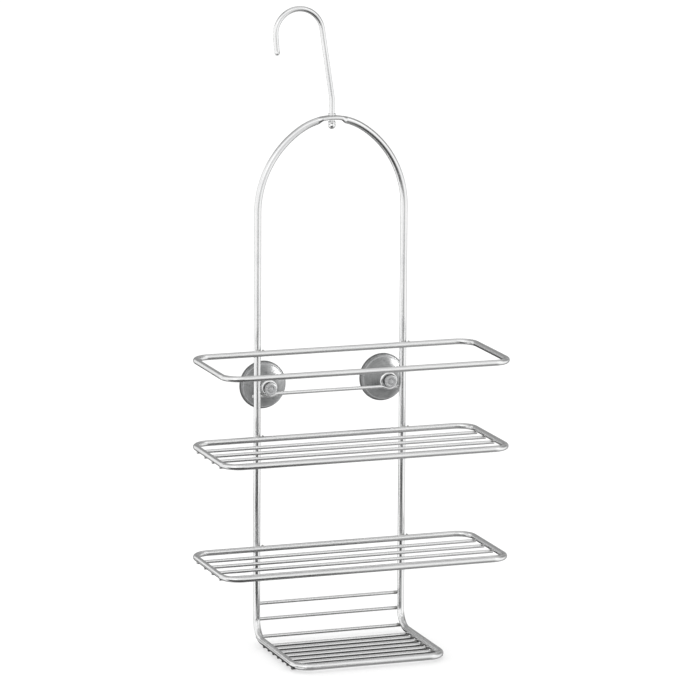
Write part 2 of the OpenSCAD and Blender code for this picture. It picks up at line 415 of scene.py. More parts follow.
def object_place(tree):
    return tree.nodes.new("ShaderNodeTexCoord").outputs["Object"]


def stored(tree, name):
    """A value that the mesh keeps at each point."""
    return node(tree, "ShaderNodeAttribute", attribute_name=name).outputs["Fac"]


def bump_shader(tree, shader, height, strength, distance):
    """Lets a height roughen the shader's surface."""
    bump = node(tree, "ShaderNodeBump", Strength=strength, Distance=distance)
    link(tree, height, bump.inputs["Height"])
    link(tree, bump.outputs["Normal"], shader.inputs["Normal"])


# ---------------------------------------------------------------- materials

def tinted(tint, red, green, blue):
    """A colour from its parts of a tint."""
    return (tint * red, tint * green, tint * blue, 1)


def satin_steel(name, tint=0.68, base_rough=0.2):
    """Drawn, lightly brushed wire: streaks along the wire, faint smears, tiny pits, heat marks at welds."""
    material, tree, shader = new_material(name)
    shader.inputs["Metallic"].default_value = 1.0
    shader.inputs["Anisotropic"].default_value = 0.35
    along_wire = node(tree, "ShaderNodeUVMap", uv_map="along_wire").outputs["UV"]
    place = object_place(tree)
    streaks = noise_at(tree, along_wire, 1.0, 3.0, stretch=(45, 5200, 1))
    long_streaks = noise_at(tree, along_wire, 1.0, 2.0, stretch=(9, 1500, 1))
    smears = noise_at(tree, place, 38.0, 3.0)
    grain = noise_at(tree, place, 2600.0, 2.0)
    pits = node(tree, "ShaderNodeTexVoronoi", Scale=900.0, Randomness=1.0)
    link(tree, place, pits.inputs["Vector"])
    pit = ramp(tree, pits.outputs["Distance"], 0.05, 0.16, 1.0, 0.0)
    patchy_heat = maths(tree, "MULTIPLY", stored(tree, "weld"), ramp(tree, grain, 0.3, 0.7, 0.6, 1.0))

    dark_streak = tinted(tint, 0.94, 0.945, 0.95)
    light_streak = tinted(tint, 1.05, 1.05, 1.045)
    smear = tinted(tint, 0.88, 0.885, 0.9)
    heat_mark = tinted(tint, 0.42, 0.4, 0.38)
    clean = mix_colour(tree, ramp(tree, streaks, 0.3, 0.7, 0.0, 1.0), dark_streak, light_streak)
    smeared = mix_colour(tree, ramp(tree, smears, 0.42, 0.72, 0.0, 0.35), clean, smear)
    heated = mix_colour(tree, patchy_heat, smeared, heat_mark)
    link(tree, heated, shader.inputs["Base Color"])

    streak_rough = ramp(tree, streaks, 0.25, 0.75, base_rough - 0.05, base_rough + 0.06)
    rough = maths(tree, "ADD", streak_rough, ramp(tree, smears, 0.4, 0.75, 0.0, 0.09))
    rough = maths(tree, "ADD", rough, maths(tree, "MULTIPLY", patchy_heat, 0.22))
    rough = maths(tree, "ADD", rough, maths(tree, "MULTIPLY", pit, 0.12))
    link(tree, rough, shader.inputs["Roughness"])

    fine = maths(tree, "MULTIPLY", streaks, 0.7)
    coarse = maths(tree, "MULTIPLY", long_streaks, 0.6)
    height = maths(tree, "ADD", fine, coarse)
    height = maths(tree, "ADD", height, maths(tree, "MULTIPLY", grain, 0.25))
    height = maths(tree, "SUBTRACT", height, maths(tree, "MULTIPLY", pit, 0.5))
    bump_shader(tree, shader, height, 0.35, 0.012 * MM)
    return material


def weld_metal():
    """The small bead of melted metal in the crook of two wires: rougher, and darker from the heat."""
    material, tree, shader = new_material("weld_metal")
    shader.inputs["Metallic"].default_value = 1.0
    lumps = noise_at(tree, object_place(tree), 1400.0, 3.0)
    dark, light = (0.3, 0.295, 0.285, 1), (0.5, 0.5, 0.495, 1)
    tone = mix_colour(tree, ramp(tree, lumps, 0.3, 0.7, 0.0, 1.0), dark, light)
    link(tree, tone, shader.inputs["Base Color"])
    link(tree, ramp(tree, lumps, 0.3, 0.7, 0.36, 0.52), shader.inputs["Roughness"])
    bump_shader(tree, shader, lumps, 0.5, 0.05 * MM)
    return material


# Bands of a cup, by distance from its axis: turning rings, the ridge with its painted highlight, and the
# dark rim
TURNING_RINGS = 1.9 * MM
RIDGE_AT = 18.7 * MM
RIDGE_HIGHLIGHT_FULL = 0.25 * MM
RIDGE_HIGHLIGHT_GONE = 0.6 * MM
RIM_BEGINS = 19.9 * MM
RIM_DARK = 20.9 * MM


def vinyl_colour(tree, flow, from_axis, wave, on_head):
    """Mottled grey with faint rings, a dark rim, a painted highlight along the ridge and a clearer head."""
    brushed = noise_at(tree, object_place(tree), 420.0, 3.0, stretch=(1, 1, 3))
    flow_part = ramp(tree, flow, 0.3, 0.72, 0.0, 0.6)
    brushed_part = ramp(tree, brushed, 0.3, 0.7, 0.0, 0.4)
    mottled = maths(tree, "ADD", flow_part, brushed_part)
    tone = mix_colour(tree, mottled, (0.14, 0.143, 0.144, 1), (0.29, 0.295, 0.296, 1))
    ring = ramp(tree, wave, 0.2, 1.0, 0.0, 0.22)
    ringed = mix_colour(tree, ring, tone, (0.36, 0.365, 0.37, 1))
    edge = ramp(tree, from_axis, RIM_BEGINS, RIM_DARK, 0.0, 0.85)
    rimmed = mix_colour(tree, edge, ringed, (0.05, 0.052, 0.053, 1))
    # Painted highlight: a pale band along the ridge, where the raised bead would catch the light
    off_ridge = maths(tree, "ABSOLUTE", maths(tree, "SUBTRACT", from_axis, RIDGE_AT))
    ridge = ramp(tree, off_ridge, RIDGE_HIGHLIGHT_FULL, RIDGE_HIGHLIGHT_GONE, 0.8, 0.0)
    with_ridge_highlight = mix_colour(tree, ridge, rimmed, (0.5, 0.505, 0.51, 1))
    return mix_colour(tree, on_head, with_ridge_highlight, (0.66, 0.665, 0.67, 1))


def grey_vinyl():
    """Soft clear vinyl gone grey: part see-through, with flow marks, dust and faint turning rings."""
    material, tree, shader = new_material("grey_vinyl")
    shader.inputs["IOR"].default_value = 1.5
    shader.inputs["Specular IOR Level"].default_value = 0.6
    shader.inputs["Coat Weight"].default_value = 0.3
    shader.inputs["Coat Roughness"].default_value = 0.32
    place = object_place(tree)
    flow = noise_at(tree, place, 130.0, 4.0, stretch=(1, 0.4, 1))
    dust = noise_at(tree, place, 2200.0, 2.0)
    from_axis = stored(tree, "from_axis")
    on_head = stored(tree, "on_head")
    wave = maths(tree, "SINE", maths(tree, "MULTIPLY", from_axis, 2 * math.pi / TURNING_RINGS))
    link(tree, vinyl_colour(tree, flow, from_axis, wave, on_head), shader.inputs["Base Color"])
    link(tree, ramp(tree, on_head, 0.0, 1.0, 0.2, 0.5), shader.inputs["Transmission Weight"])

    flow_rough = ramp(tree, flow, 0.3, 0.7, 0.26, 0.36)
    dust_rough = ramp(tree, dust, 0.55, 0.75, 0.0, 0.12)
    rough = maths(tree, "ADD", flow_rough, dust_rough)
    rough = maths(tree, "MULTIPLY", rough, ramp(tree, on_head, 0.0, 1.0, 1.0, 0.2))
    link(tree, rough, shader.inputs["Roughness"])

    height = maths(tree, "ADD", maths(tree, "MULTIPLY", wave, 0.18), maths(tree, "MULTIPLY", flow, 0.5))
    height = maths(tree, "ADD", height, maths(tree, "MULTIPLY", dust, 0.08))
    bump_shader(tree, shader, height, 0.35, 0.12 * MM)
    return material


STEEL = satin_steel("satin_steel")
THIN_STEEL = satin_steel("satin_steel_thin", tint=0.7, base_rough=0.18)
WELD = weld_metal()
VINYL = grey_vinyl()


# ---------------------------------------------------------------- finishing a piece

HEAT_REACH = 3.6 * MM
HEAT_FADE = 1.5


def place_piece(piece, body, material, slot, *nodes):
    """Gives a piece its material and body, and hides the CAD nodes that it stands in for; slot is not used.
    """
    piece.data.materials.clear()
    piece.data.materials.append(material)
    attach(piece, body)
    if nodes:
        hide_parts(*nodes)


def mark_heat(piece, weld_places):
    """Stores how close each point is to a weld, for the heat mark in the steel."""
    mesh = piece.data
    points = np.empty(len(mesh.vertices) * 3)
    mesh.vertices.foreach_get("co", points)
    points = points.reshape(-1, 3)
    near = np.zeros(len(points))
    for place in weld_places:
        distance = np.linalg.norm(points - np.array(place), axis=1)
        near = np.maximum(near, np.clip(1 - distance / HEAT_REACH, 0, 1) ** HEAT_FADE)
    layer = mesh.attributes.new("weld", "FLOAT", "POINT")
    layer.data.foreach_set("value", near)


# ---------------------------------------------------------------- the wires

def ring_piece(name):
    """A closed ring of rail wire with four round corners, as large as its CAD node."""
    mid = centre(name)
    run_x = size(name).x / 2 - RAIL_R - RING_CORNER
    run_y = size(name).y / 2 - RAIL_R - RING_CORNER
    corners = []
    for sx, sy, start in ((1, 1, 0), (-1, 1, 90), (-1, -1, 180), (1, -1, 270)):
        at = mid + Vector((sx * run_x, sy * run_y, 0))
        corners.append(arc(at, X_AXIS, Y_AXIS, RING_CORNER, start, start + 90))
    runs = []
    for i, corner in enumerate(corners):
        runs.append(corner)
        runs.append(line(corner[-1], corners[(i + 1) % 4][0]))
    return wire(name + "_wire", chain(*runs, closed=True), RAIL_R, RAIL_SIDES, closed=True)


def crown_section(point, radius):
    """Section of the main wire: round, but pressed flat near the crown, just under its top line."""
    away = abs(point.x)
    if point.z < CROWN_Z - CROWN_BAND or away > FLAT_HALF + FLAT_FADE:
        return round_section(point, radius)
    t = min(1, (FLAT_HALF + FLAT_FADE - away) / FLAT_FADE)
    t = t * t * (3 - 2 * t)
    outward = (point - Vector((0, UPRIGHT_Y, CROWN_Z - CROWN_RADIUS))).normalized()
    across = radius + (FLAT_HALF_WIDE - radius) * t
    tall = radius + (FLAT_HALF_THICK - radius) * t
    shift = outward * (FRAME_R - FLAT_DROP - FLAT_HALF_THICK) * t
    return across, tall, ROUND_POWER + FLAT_SQUARER * t, shift


def main_frame_piece():
    """One closed loop: soap shelf front, corner, side, foot, upright, arch, and the same again."""
    spring_z = CROWN_Z - ARCH_RISE
    rise = ARCH_RISE - CROWN_RADIUS
    inset = UPRIGHT_X - CROWN_RADIUS
    beyond = (rise ** 2 - inset ** 2) / (2 * inset)
    turn = math.degrees(math.atan2(rise, beyond))
    side_middle = Vector((-beyond, UPRIGHT_Y, spring_z))
    side_arc = arc(side_middle, X_AXIS, Z_AXIS, UPRIGHT_X + beyond, 0, turn)
    top_middle = Vector((0, UPRIGHT_Y, CROWN_Z - CROWN_RADIUS))
    top_arc = arc(top_middle, X_AXIS, Z_AXIS, CROWN_RADIUS, turn, 180 - turn, FINE_STEP)
    foot_middle = (UPRIGHT_X, UPRIGHT_Y - FOOT_BEND, SOAP_Z + FOOT_BEND)
    foot = arc(foot_middle, Y_AXIS, Z_AXIS, FOOT_BEND, -90, 0)
    corner_middle = Vector((UPRIGHT_X - SOAP_CORNER, SOAP_FRONT_Y + SOAP_CORNER, SOAP_Z))
    corner = arc(corner_middle, X_AXIS, Y_AXIS, SOAP_CORNER, -90, 0)
    right = chain(
        line((0, SOAP_FRONT_Y, SOAP_Z), corner[0]), corner, line(corner[-1], foot[0]),
        foot, line(foot[-1], side_arc[0]), side_arc,
    )
    path = chain(right, top_arc, mirrored(right), closed=True)
    return wire(
        "main_frame_wire", path, FRAME_R, FRAME_SIDES, closed=True, hint=-Z_AXIS, section=crown_section,
    )


def cut_hole(piece, middle, radius, depth):
    """Drills a round hole along Z through the piece."""
    bm = bmesh.new()
    bmesh.ops.create_cone(
        bm, cap_ends=True, segments=TURNED_SIDES, radius1=radius, radius2=radius, depth=depth,
    )
    bmesh.ops.translate(bm, verts=bm.verts, vec=middle)
    drill = piece_from("drill", bm)
    cut = piece.modifiers.new("hole", "BOOLEAN")
    cut.operation = "DIFFERENCE"
    cut.solver = "EXACT"
    cut.object = drill
    bpy.context.view_layer.update()
    evaluated = piece.evaluated_get(bpy.context.evaluated_depsgraph_get())
    drilled = bpy.data.meshes.new_from_object(evaluated)
    piece.modifiers.clear()
    piece.data = drilled
    bpy.data.objects.remove(drill)


def straight_piece(name):
    """A straight wire along X in the place of its CAD node."""
    low, high = corners_of(name)
    mid = centre(name)
    path = line((low.x, mid.y, mid.z), (high.x, mid.y, mid.z))
    return wire(name + "_wire", path, (high.z - low.z) / 2, THIN_SIDES)


def eyelet_turn(eye, from_y, to_y):
    """One turn of wire round the cup's neck, from its lowest point, moving back by a wire's width."""
    points = []
    for i in range(EYELET_STEPS + 1):
        t = i / EYELET_STEPS
        a = 2 * math.pi * t - math.pi / 2
        x = eye.x + EYELET_R * math.cos(a)
        z = eye.z + EYELET_R * math.sin(a)
        points.append(Vector((x, from_y + (to_y - from_y) * t, z)))
    return points


def suction_bar_piece():
    """The bar, the double bend down to each eyelet, the eyelet's turn and its welded tail."""
    low, high = corners_of("suction_bar")
    bar_y = low.y + THIN_R
    tail_y = high.y - THIN_R
    eye = Vector((CUP_AXIS.x, 0, CUP_AXIS.z))
    bar_z = eye.z - EYELET_R + BAR_DIP
    angle = math.degrees(math.acos(1 - BAR_DIP / (2 * DIP_BEND)))
    run = 2 * DIP_BEND * math.sin(math.radians(angle))
    dip_start = Vector((eye.x - run, bar_y, bar_z - DIP_BEND))
    dip_end = Vector((eye.x, bar_y, bar_z - BAR_DIP + DIP_BEND))
    turn = eyelet_turn(eye, bar_y, tail_y)
    right = chain(
        line((0, bar_y, bar_z), (eye.x - run, bar_y, bar_z)),
        arc(dip_start, X_AXIS, Z_AXIS, DIP_BEND, 90, 90 - angle, FINE_STEP),
        arc(dip_end, X_AXIS, Z_AXIS, DIP_BEND, 270 - angle, 270, FINE_STEP),
        turn,
        line(turn[-1], (high.x, tail_y, turn[-1].z)),
    )
    path = chain(mirrored(right), right)
    return wire("suction_bar_wire", path, THIN_R, THIN_SIDES, hint=Y_AXIS)


def hook_piece():
    """The stem, the lean tangent to the arc, the arc and the straight tip."""
    low, high = corners_of("swivel_hook")
    arc_z = high.z - HOOK_R - HOOK_RADIUS
    offset = -(low.x + HOOK_R + HOOK_RADIUS)
    lean_z = CROWN_Z + LEAN_HEIGHT
    span = math.hypot(offset, arc_z - lean_z)
    lean = math.acos(HOOK_RADIUS / span) - math.atan2(arc_z - lean_z, offset)
    tangent = LEAN_BEND * math.tan(lean / 2)
    turn = math.degrees(lean)
    bend_middle = (-LEAN_BEND, UPRIGHT_Y, lean_z - tangent)
    bend = arc(bend_middle, X_AXIS, Z_AXIS, LEAN_BEND, 0, turn, HOOK_STEP)
    crest_middle = (-offset, UPRIGHT_Y, arc_z)
    crest = arc(crest_middle, X_AXIS, Z_AXIS, HOOK_RADIUS, turn, 180 + OVERTURN, HOOK_STEP)
    down = (crest[-1] - crest[-2]).normalized()
    path = chain(
        line((0, UPRIGHT_Y, low.z), bend[0]), bend, line(bend[-1], crest[0]), crest,
        line(crest[-1], crest[-1] + down * TIP_LENGTH),
    )
    return wire("swivel_hook_wire", path, HOOK_R, HOOK_SIDES, hint=Y_AXIS, edge=HOOK_END_EASE)


# ---------------------------------------------------------------- turned pieces

def lathe_ring(bm, middle, radius, across, third, sides):
    """The corners of one turned ring, or the single point where the outline meets the axis."""
    on_axis = 1e-7
    if radius < on_axis:
        return [bm.verts.new(middle)]
    ring = []
    for k in range(sides):
        a = 2 * math.pi * k / sides
        ring.append(bm.verts.new(middle + radius * (math.cos(a) * across + math.sin(a) * third)))
    return ring


def lathe(name, outline, axis_point, axis, sides, closed_outline=True):
    """Turns an outline of (radius, distance along the axis) points about an axis."""
    uv_width = 0.02
    along = Vector(axis).normalized()
    across = X_AXIS if abs(along.x) < 0.9 else Z_AXIS
    across = (across - across.dot(along) * along).normalized()
    third = along.cross(across)
    bm = bmesh.new()
    uv = bm.loops.layers.uv.new("along_wire")
    rings = []
    for radius, distance in outline:
        middle = axis_point + along * distance
        rings.append(lathe_ring(bm, middle, radius, across, third, sides))
    spans = len(rings) if closed_outline else len(rings) - 1
    for i in range(spans):
        here, there = rings[i], rings[(i + 1) % len(rings)]
        if len(here) == 1 and len(there) == 1:
            continue
        for k in range(sides):
            n = (k + 1) % sides
            if len(here) == 1:
                corners = (here[0], there[n], there[k])
            elif len(there) == 1:
                corners = (here[k], here[n], there[0])
            else:
                corners = (here[k], here[n], there[n], there[k])
            face = bm.faces.new(corners)
            face.smooth = True
            for loop in face.loops:
                offset = loop.vert.co - axis_point
                loop[uv].uv = (k / sides * uv_width, offset.dot(along))
    bmesh.ops.recalc_face_normals(bm, faces=bm.faces)
    return piece_from(name, bm)


def round_corner(middle, radius, start, end, count):
    """Points of a rounded corner in an outline, by angles in degrees."""
    points = []
    for i in range(count + 1):
        a = math.radians(start + (end - start) * i / count)
        points.append((middle[0] + radius * math.cos(a), middle[1] + radius * math.sin(a)))
    return points


# Cup: radii, and distances along its axis from the eyelet towards the wall
NECK_R = 4.82 * MM
NECK_EASE = 0.2 * MM
HEAD_R = 5.5 * MM
HEAD_THICK = 2.8 * MM
HEAD_FRONT_ROUND = 1.5 * MM
HEAD_BACK_ROUND = 0.9 * MM
DISH_DEPTH = 1.15 * MM
DISH_EDGE = 4.0 * MM
PIP_R = 2.2 * MM
PIP_HEIGHT = 1.1 * MM
SHOULDER_R = 7 * MM
SHOULDER_AT = 5.9 * MM
SHOULDER_ROUND = 0.8 * MM
SHOULDER_LEDGE = 1.0 * MM
DOME_R = 22.8 * MM
DOME_MIDDLE = 29.2 * MM
HOLLOW_R = 21 * MM
HOLLOW_MIDDLE = 30.3 * MM
RIDGE_R = 0.5 * MM
LIP = 1.3 * MM
LIP_FRONT_ROUND = 0.45 * MM
LIP_BACK_ROUND = 0.3 * MM
HEAD_FADE = 0.8 * MM

# The wall of the head's dish: radius in mm, and depth as a part of the dish's depth
DISH_WALL = ((2.7, 1.0), (3.1, 0.85), (3.4, 0.5), (3.7, 0.16))


def dome_point(radius, middle, angle):
    """A point of a cup's section, on a circle about its axis, at an angle from the front."""
    return (radius * math.sin(angle), middle - radius * math.cos(angle))


def head_outline(front):
    """The pip, the dish round it, the rounded edge of the button head and its back."""
    outline = []
    for degrees in range(0, 91, 10):
        a = math.radians(degrees)
        outline.append((PIP_R * math.sin(a), front + DISH_DEPTH - PIP_HEIGHT * math.cos(a)))
    outline += [(radius * MM, front + DISH_DEPTH * part) for radius, part in DISH_WALL]
    outline += [(DISH_EDGE, front)]
    outline += round_corner((DISH_EDGE, front + HEAD_FRONT_ROUND), HEAD_FRONT_ROUND, -85, 0, 10)
    back = front + HEAD_THICK
    back_middle = (HEAD_R - HEAD_BACK_ROUND, back - HEAD_BACK_ROUND)
    outline += round_corner(back_middle, HEAD_BACK_ROUND, 0, 90, 6)
    outline += [(NECK_R + NECK_EASE, back), (NECK_R, back + NECK_EASE)]
    return outline


def skirt_outline(reach, rim):
    """From the neck: the shoulder, the dome and its ridge, the lip, and the hollow to the axis."""
    outline = [(NECK_R, SHOULDER_AT - 0.3 * MM), (NECK_R + 0.15 * MM, SHOULDER_AT)]
    shoulder_middle = (SHOULDER_R - SHOULDER_ROUND, SHOULDER_AT + SHOULDER_ROUND)
    outline += round_corner(shoulder_middle, SHOULDER_ROUND, -90, 0, 6)
    start = math.asin((SHOULDER_R + SHOULDER_LEDGE) / DOME_R)
    end = math.asin((RIDGE_AT - RIDGE_R) / DOME_R)
    steps = 26
    for i in range(steps + 1):
        outline.append(dome_point(DOME_R, DOME_MIDDLE, start + (end - start) * i / steps))
    ridge_middle = dome_point(DOME_R, DOME_MIDDLE, math.asin(RIDGE_AT / DOME_R))
    slope = math.degrees(math.asin(RIDGE_AT / DOME_R))
    outline += round_corner(ridge_middle, RIDGE_R, slope - 170, slope - 10, 10)
    outline += [(RIDGE_AT + RIDGE_R + 0.35 * MM, reach - LIP)]
    lip_front = (rim - LIP_FRONT_ROUND, reach - LIP + LIP_FRONT_ROUND)
    outline += round_corner(lip_front, LIP_FRONT_ROUND, -90, 0, 5)
    lip_back = (rim - LIP_BACK_ROUND, reach - LIP_BACK_ROUND)
    outline += round_corner(lip_back, LIP_BACK_ROUND, 0, 90, 4)
    inner = math.sqrt(HOLLOW_R ** 2 - (HOLLOW_MIDDLE - reach) ** 2)
    outline += [(inner + 0.1 * MM, reach)]
    wide = math.asin(inner / HOLLOW_R)
    steps = 30
    for i in range(1, steps + 1):
        outline.append(dome_point(HOLLOW_R, HOLLOW_MIDDLE, wide * (1 - i / steps)))
    return outline


def cup_piece(name, joint):
    """One moulding, with its distance from the axis and its head stored for the material."""
    low, high = corners_of("right_suction_cup")
    outline = head_outline(low.y - UPRIGHT_Y)
    outline += skirt_outline(high.y - UPRIGHT_Y, (high.x - low.x) / 2)
    axis_point = Vector(JOINTS[joint]["pos_m"])
    piece = lathe(name + "_moulding", outline, axis_point, Y_AXIS, CUP_SIDES, closed_outline=False)
    mesh = piece.data
    from_axis = mesh.attributes.new("from_axis", "FLOAT", "POINT")
    on_head = mesh.attributes.new("on_head", "FLOAT", "POINT")
    for i, vertex in enumerate(mesh.vertices):
        offset = vertex.co - axis_point
        from_axis.data[i].value = math.hypot(offset.x, offset.z)
        on_head.data[i].value = min(1, max(0, -offset.y / HEAD_FADE))
    return piece


def collar_piece():
    """A ring round the stem with two eased outer edges."""
    low, high = corners_of("hook_collar")
    outer = (high.x - low.x) / 2
    thick = high.z - low.z
    edge = 0.4 * MM
    outline = [(HOOK_R, 0)]
    outline += round_corner((outer - edge, edge), edge, -90, 0, 5)
    outline += round_corner((outer - edge, thick - edge), edge, 0, 90, 5)
    outline += [(HOOK_R, thick)]
    return lathe("hook_collar_ring", outline, Vector((0, UPRIGHT_Y, low.z)), Z_AXIS, TURNED_SIDES)


# The cap's side above its round end, as parts of its radius and of its length
CAP_SIDE = ((1.0, 0.62), (0.93, 0.68), (0.93, 0.8), (0.99, 0.87), (0.97, 0.96), (0.9, 1.0))


def cap_piece():
    """An acorn cap: a rounded lower end, a slight waist, a crimped upper rim and the stem's socket."""
    low, high = corners_of("hook_end_cap")
    outer = (high.x - low.x) / 2
    length = high.z - low.z
    socket = 4 * MM
    steps = 12
    outline = [(0, 0)]
    for i in range(1, steps + 1):
        a = math.pi / 2 * i / steps
        outline.append((outer * math.sin(a), outer * (1 - math.cos(a))))
    outline += [(outer * wide, length * high_up) for wide, high_up in CAP_SIDE]
    outline += [(HOOK_R, length), (HOOK_R, length - socket), (0, length - socket)]
    foot = Vector((0, UPRIGHT_Y, low.z))
    return lathe("hook_end_cap_acorn", outline, foot, Z_AXIS, TURNED_SIDES, closed_outline=False)


# ---------------------------------------------------------------- welds

# Half width and half height of the beads; a contact is (place, half width, half height, direction)
FLOOR_BEAD = (1.45 * MM, 0.75 * MM)
RING_BEAD = (3.0 * MM, 0.95 * MM)
RING_CRUMB = (1.15 * MM, 0.85 * MM)
WIRE_BEAD = (1.6 * MM, 0.75 * MM)
CROOK_BEAD = (1.5 * MM, 1.3 * MM)
CRUMB_OFFSET = Vector((4.0 * MM, 1.3 * MM, 2.2 * MM))
CROOK_SINK = 0.22
CROOK_ASIDE = 0.9 * MM


def weld_bead(bm, at, spread, height, toward, seed):
    """A small flattened, uneven bead round a contact point; toward is the direction between the wires."""
    unevenness, lump_size = 0.16, 1.9
    toward = toward.normalized()
    turn = Z_AXIS.rotation_difference(toward).to_matrix().to_4x4()
    made = bmesh.ops.create_icosphere(bm, subdivisions=3, radius=1.0)["verts"]
    for v in made:
        sample = v.co * lump_size + Vector((seed * 7.3, seed * 3.1, seed))
        ripple = 1 + unevenness * noise.noise(sample)
        v.co = Vector((v.co.x * spread * ripple, v.co.y * spread * ripple, v.co.z * height * ripple))
    bmesh.ops.transform(bm, matrix=Matrix.Translation(at) @ turn, verts=made)


def weld_group(name, contacts):
    """All the beads of one group, as one piece on the frame."""
    bm = bmesh.new()
    for i, (at, spread, height, toward) in enumerate(contacts):
        weld_bead(bm, at, spread, height, toward, i + len(name))
    for face in bm.faces:
        face.smooth = True
    place_piece(piece_from(name, bm), "frame", WELD, "satin_steel")


def floor_contacts(floor_wires, half, support_z, support_r):
    """The two welds of each straight wire under a pair of side rails."""
    spread, height = FLOOR_BEAD
    contacts = []
    for name in floor_wires:
        mid = centre(name)
        place = min(half, size(name).x / 2 - 0.8 * spread)
        for side in SIDES:
            at = Vector((side * place, mid.y, (mid.z + support_z + THIN_R - support_r) / 2))
            contacts.append((at, spread, height, Z_AXIS))
    return contacts


def shelf_contacts(floor_wires, rim):
    """The welds of a wide shelf's floor wires, under the rim's side rails."""
    half = size(rim).x / 2 - RAIL_R
    return floor_contacts(floor_wires, half, centre(rim).z, RAIL_R)


def ring_contacts():
    """The bead between each ring and each upright, and a crumb of metal on either side of it."""
    contacts = []
    for rim in RINGS:
        rear_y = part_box(rim)[1][1] - RAIL_R
        for side in SIDES:
            between_y = (rear_y + RAIL_R + UPRIGHT_Y - FRAME_R) / 2
            at = Vector((side * UPRIGHT_X, between_y, centre(rim).z))
            contacts.append((at, *RING_BEAD, Y_AXIS))
            rail = Vector((side * UPRIGHT_X, rear_y, centre(rim).z))
            for way in SIDES:
                crumb = Vector((way * CRUMB_OFFSET.x, CRUMB_OFFSET.y, way * CRUMB_OFFSET.z))
                contacts.append((rail + crumb, *RING_CRUMB, crumb))
    return contacts


def frame_axis_near(side, mid):
    """The middle of the main wire where a back wire meets it, on the upright or on the foot's bend."""
    bend = Vector((0, UPRIGHT_Y - FOOT_BEND, SOAP_Z + FOOT_BEND))
    if mid.z >= bend.z:
        return Vector((side * UPRIGHT_X, UPRIGHT_Y, mid.z))
    out = Vector((0, mid.y - bend.y, mid.z - bend.z)).normalized()
    return Vector((side * UPRIGHT_X, bend.y, bend.z)) + out * FOOT_BEND


def back_wire_contacts():
    """A bead at each end of the back wires, and one more in the crook at their right ends."""
    contacts = []
    for name in BACK_WIRES:
        mid = centre(name)
        for side in SIDES:
            frame_axis = frame_axis_near(side, mid)
            here = Vector((side * UPRIGHT_X, mid.y, mid.z))
            gap = here - frame_axis
            if side > 0:
                crook = here - gap * CROOK_SINK - Vector((FRAME_R + CROOK_ASIDE, 0, 0))
                contacts.append((crook, *CROOK_BEAD, X_AXIS))
            contacts.append((frame_axis + gap * (FRAME_R / (FRAME_R + THIN_R)), *WIRE_BEAD, gap))
    return contacts


def bar_contacts():
    """The bead between each tail of the suction bar and its upright."""
    tail_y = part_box("suction_bar")[1][1]
    between_y = (tail_y - 2 * THIN_R + UPRIGHT_Y + FRAME_R) / 2
    eyelet_foot = CUP_AXIS.z - EYELET_R
    contacts = []
    for side in SIDES:
        contacts.append((Vector((side * UPRIGHT_X, between_y, eyelet_foot)), *WIRE_BEAD, Y_AXIS))
    return contacts


def weld_contacts():
    """Every weld of the frame, by the group that it belongs to."""
    return {
        "middle_floor_welds": shelf_contacts(MIDDLE_FLOOR, "middle_shelf_rim"),
        "lower_floor_welds": shelf_contacts(LOWER_FLOOR, "lower_shelf_rim"),
        "soap_floor_welds": floor_contacts(SOAP_FLOOR, UPRIGHT_X, SOAP_Z, FRAME_R),
        "ring_welds": ring_contacts(),
        "upright_welds": back_wire_contacts() + bar_contacts(),
    }


# ---------------------------------------------------------------- building the caddy

def build():
    """Makes every piece and gives each its body and material."""
    groups = weld_contacts()
    weld_places = [tuple(contact[0]) for contacts in groups.values() for contact in contacts]

    def steel_piece(piece, cad_node, body="frame", material=STEEL):
        place_piece(piece, body, material, "satin_steel", cad_node)
        mark_heat(piece, weld_places)

    main = main_frame_piece()
    cut_hole(main, Vector((0, UPRIGHT_Y, CROWN_Z)), HOOK_R + HOLE_PLAY, DRILL_LENGTH)
    steel_piece(main, "main_frame")
    for name in RINGS:
        steel_piece(ring_piece(name), name)
    for name in MIDDLE_FLOOR + LOWER_FLOOR + SOAP_FLOOR + BACK_WIRES:
        steel_piece(straight_piece(name), name, material=THIN_STEEL)
    steel_piece(suction_bar_piece(), "suction_bar", material=THIN_STEEL)
    for name, contacts in groups.items():
        weld_group(name, contacts)

    steel_piece(hook_piece(), "swivel_hook", body="hook")
    steel_piece(collar_piece(), "hook_collar", body="hook")
    steel_piece(cap_piece(), "hook_end_cap", body="hook")

    for side in ("left", "right"):
        cup = cup_piece(f"{side}_suction_cup", f"{side}_cup_turn")
        place_piece(cup, f"{side}_cup", VINYL, "clear_vinyl", f"{side}_suction_cup")


build()


# ---------------------------------------------------------------- floor and cards

FLOOR_HALF = 14.0
FLOOR_DROP = 0.2 * MM
CARD_DROP = 0.3 * MM


def sheet(name, outlines, drop):
    """Flat four-cornered faces, lowered a little so that they touch nothing."""
    mesh = bpy.data.meshes.new(name)
    corners = [corner for outline in outlines for corner in outline]
    faces = [tuple(range(4 * i, 4 * i + 4)) for i in range(len(outlines))]
    mesh.from_pydata(corners, [], faces)
    made = linked(name, mesh)
    made.location.z = -drop
    return made


def glowing(name, colour, specular, glow, rough=0.5):
    """A plain material that gives off some white light of its own."""
    material, _, shader = new_material(name)
    shader.inputs["Base Color"].default_value = colour
    shader.inputs["Roughness"].default_value = rough
    shader.inputs["Specular IOR Level"].default_value = specular
    shader.inputs["Emission Color"].default_value = (1, 1, 1, 1)
    shader.inputs["Emission Strength"].default_value = glow
    return material


def make_floor():
    """A plain pale floor that fills every view. It glows a little, so that shadows on it are faint."""
    half = FLOOR_HALF
    outline = ((-half, -half, 0), (half, -half, 0), (half, half, 0), (-half, half, 0))
    floor = sheet("floor", (outline,), FLOOR_DROP)
    floor.data.materials.append(glowing("pale_floor", (0.55, 0.55, 0.55, 1), 0.1, 0.45, rough=0.9))
    floor.visible_glossy = False


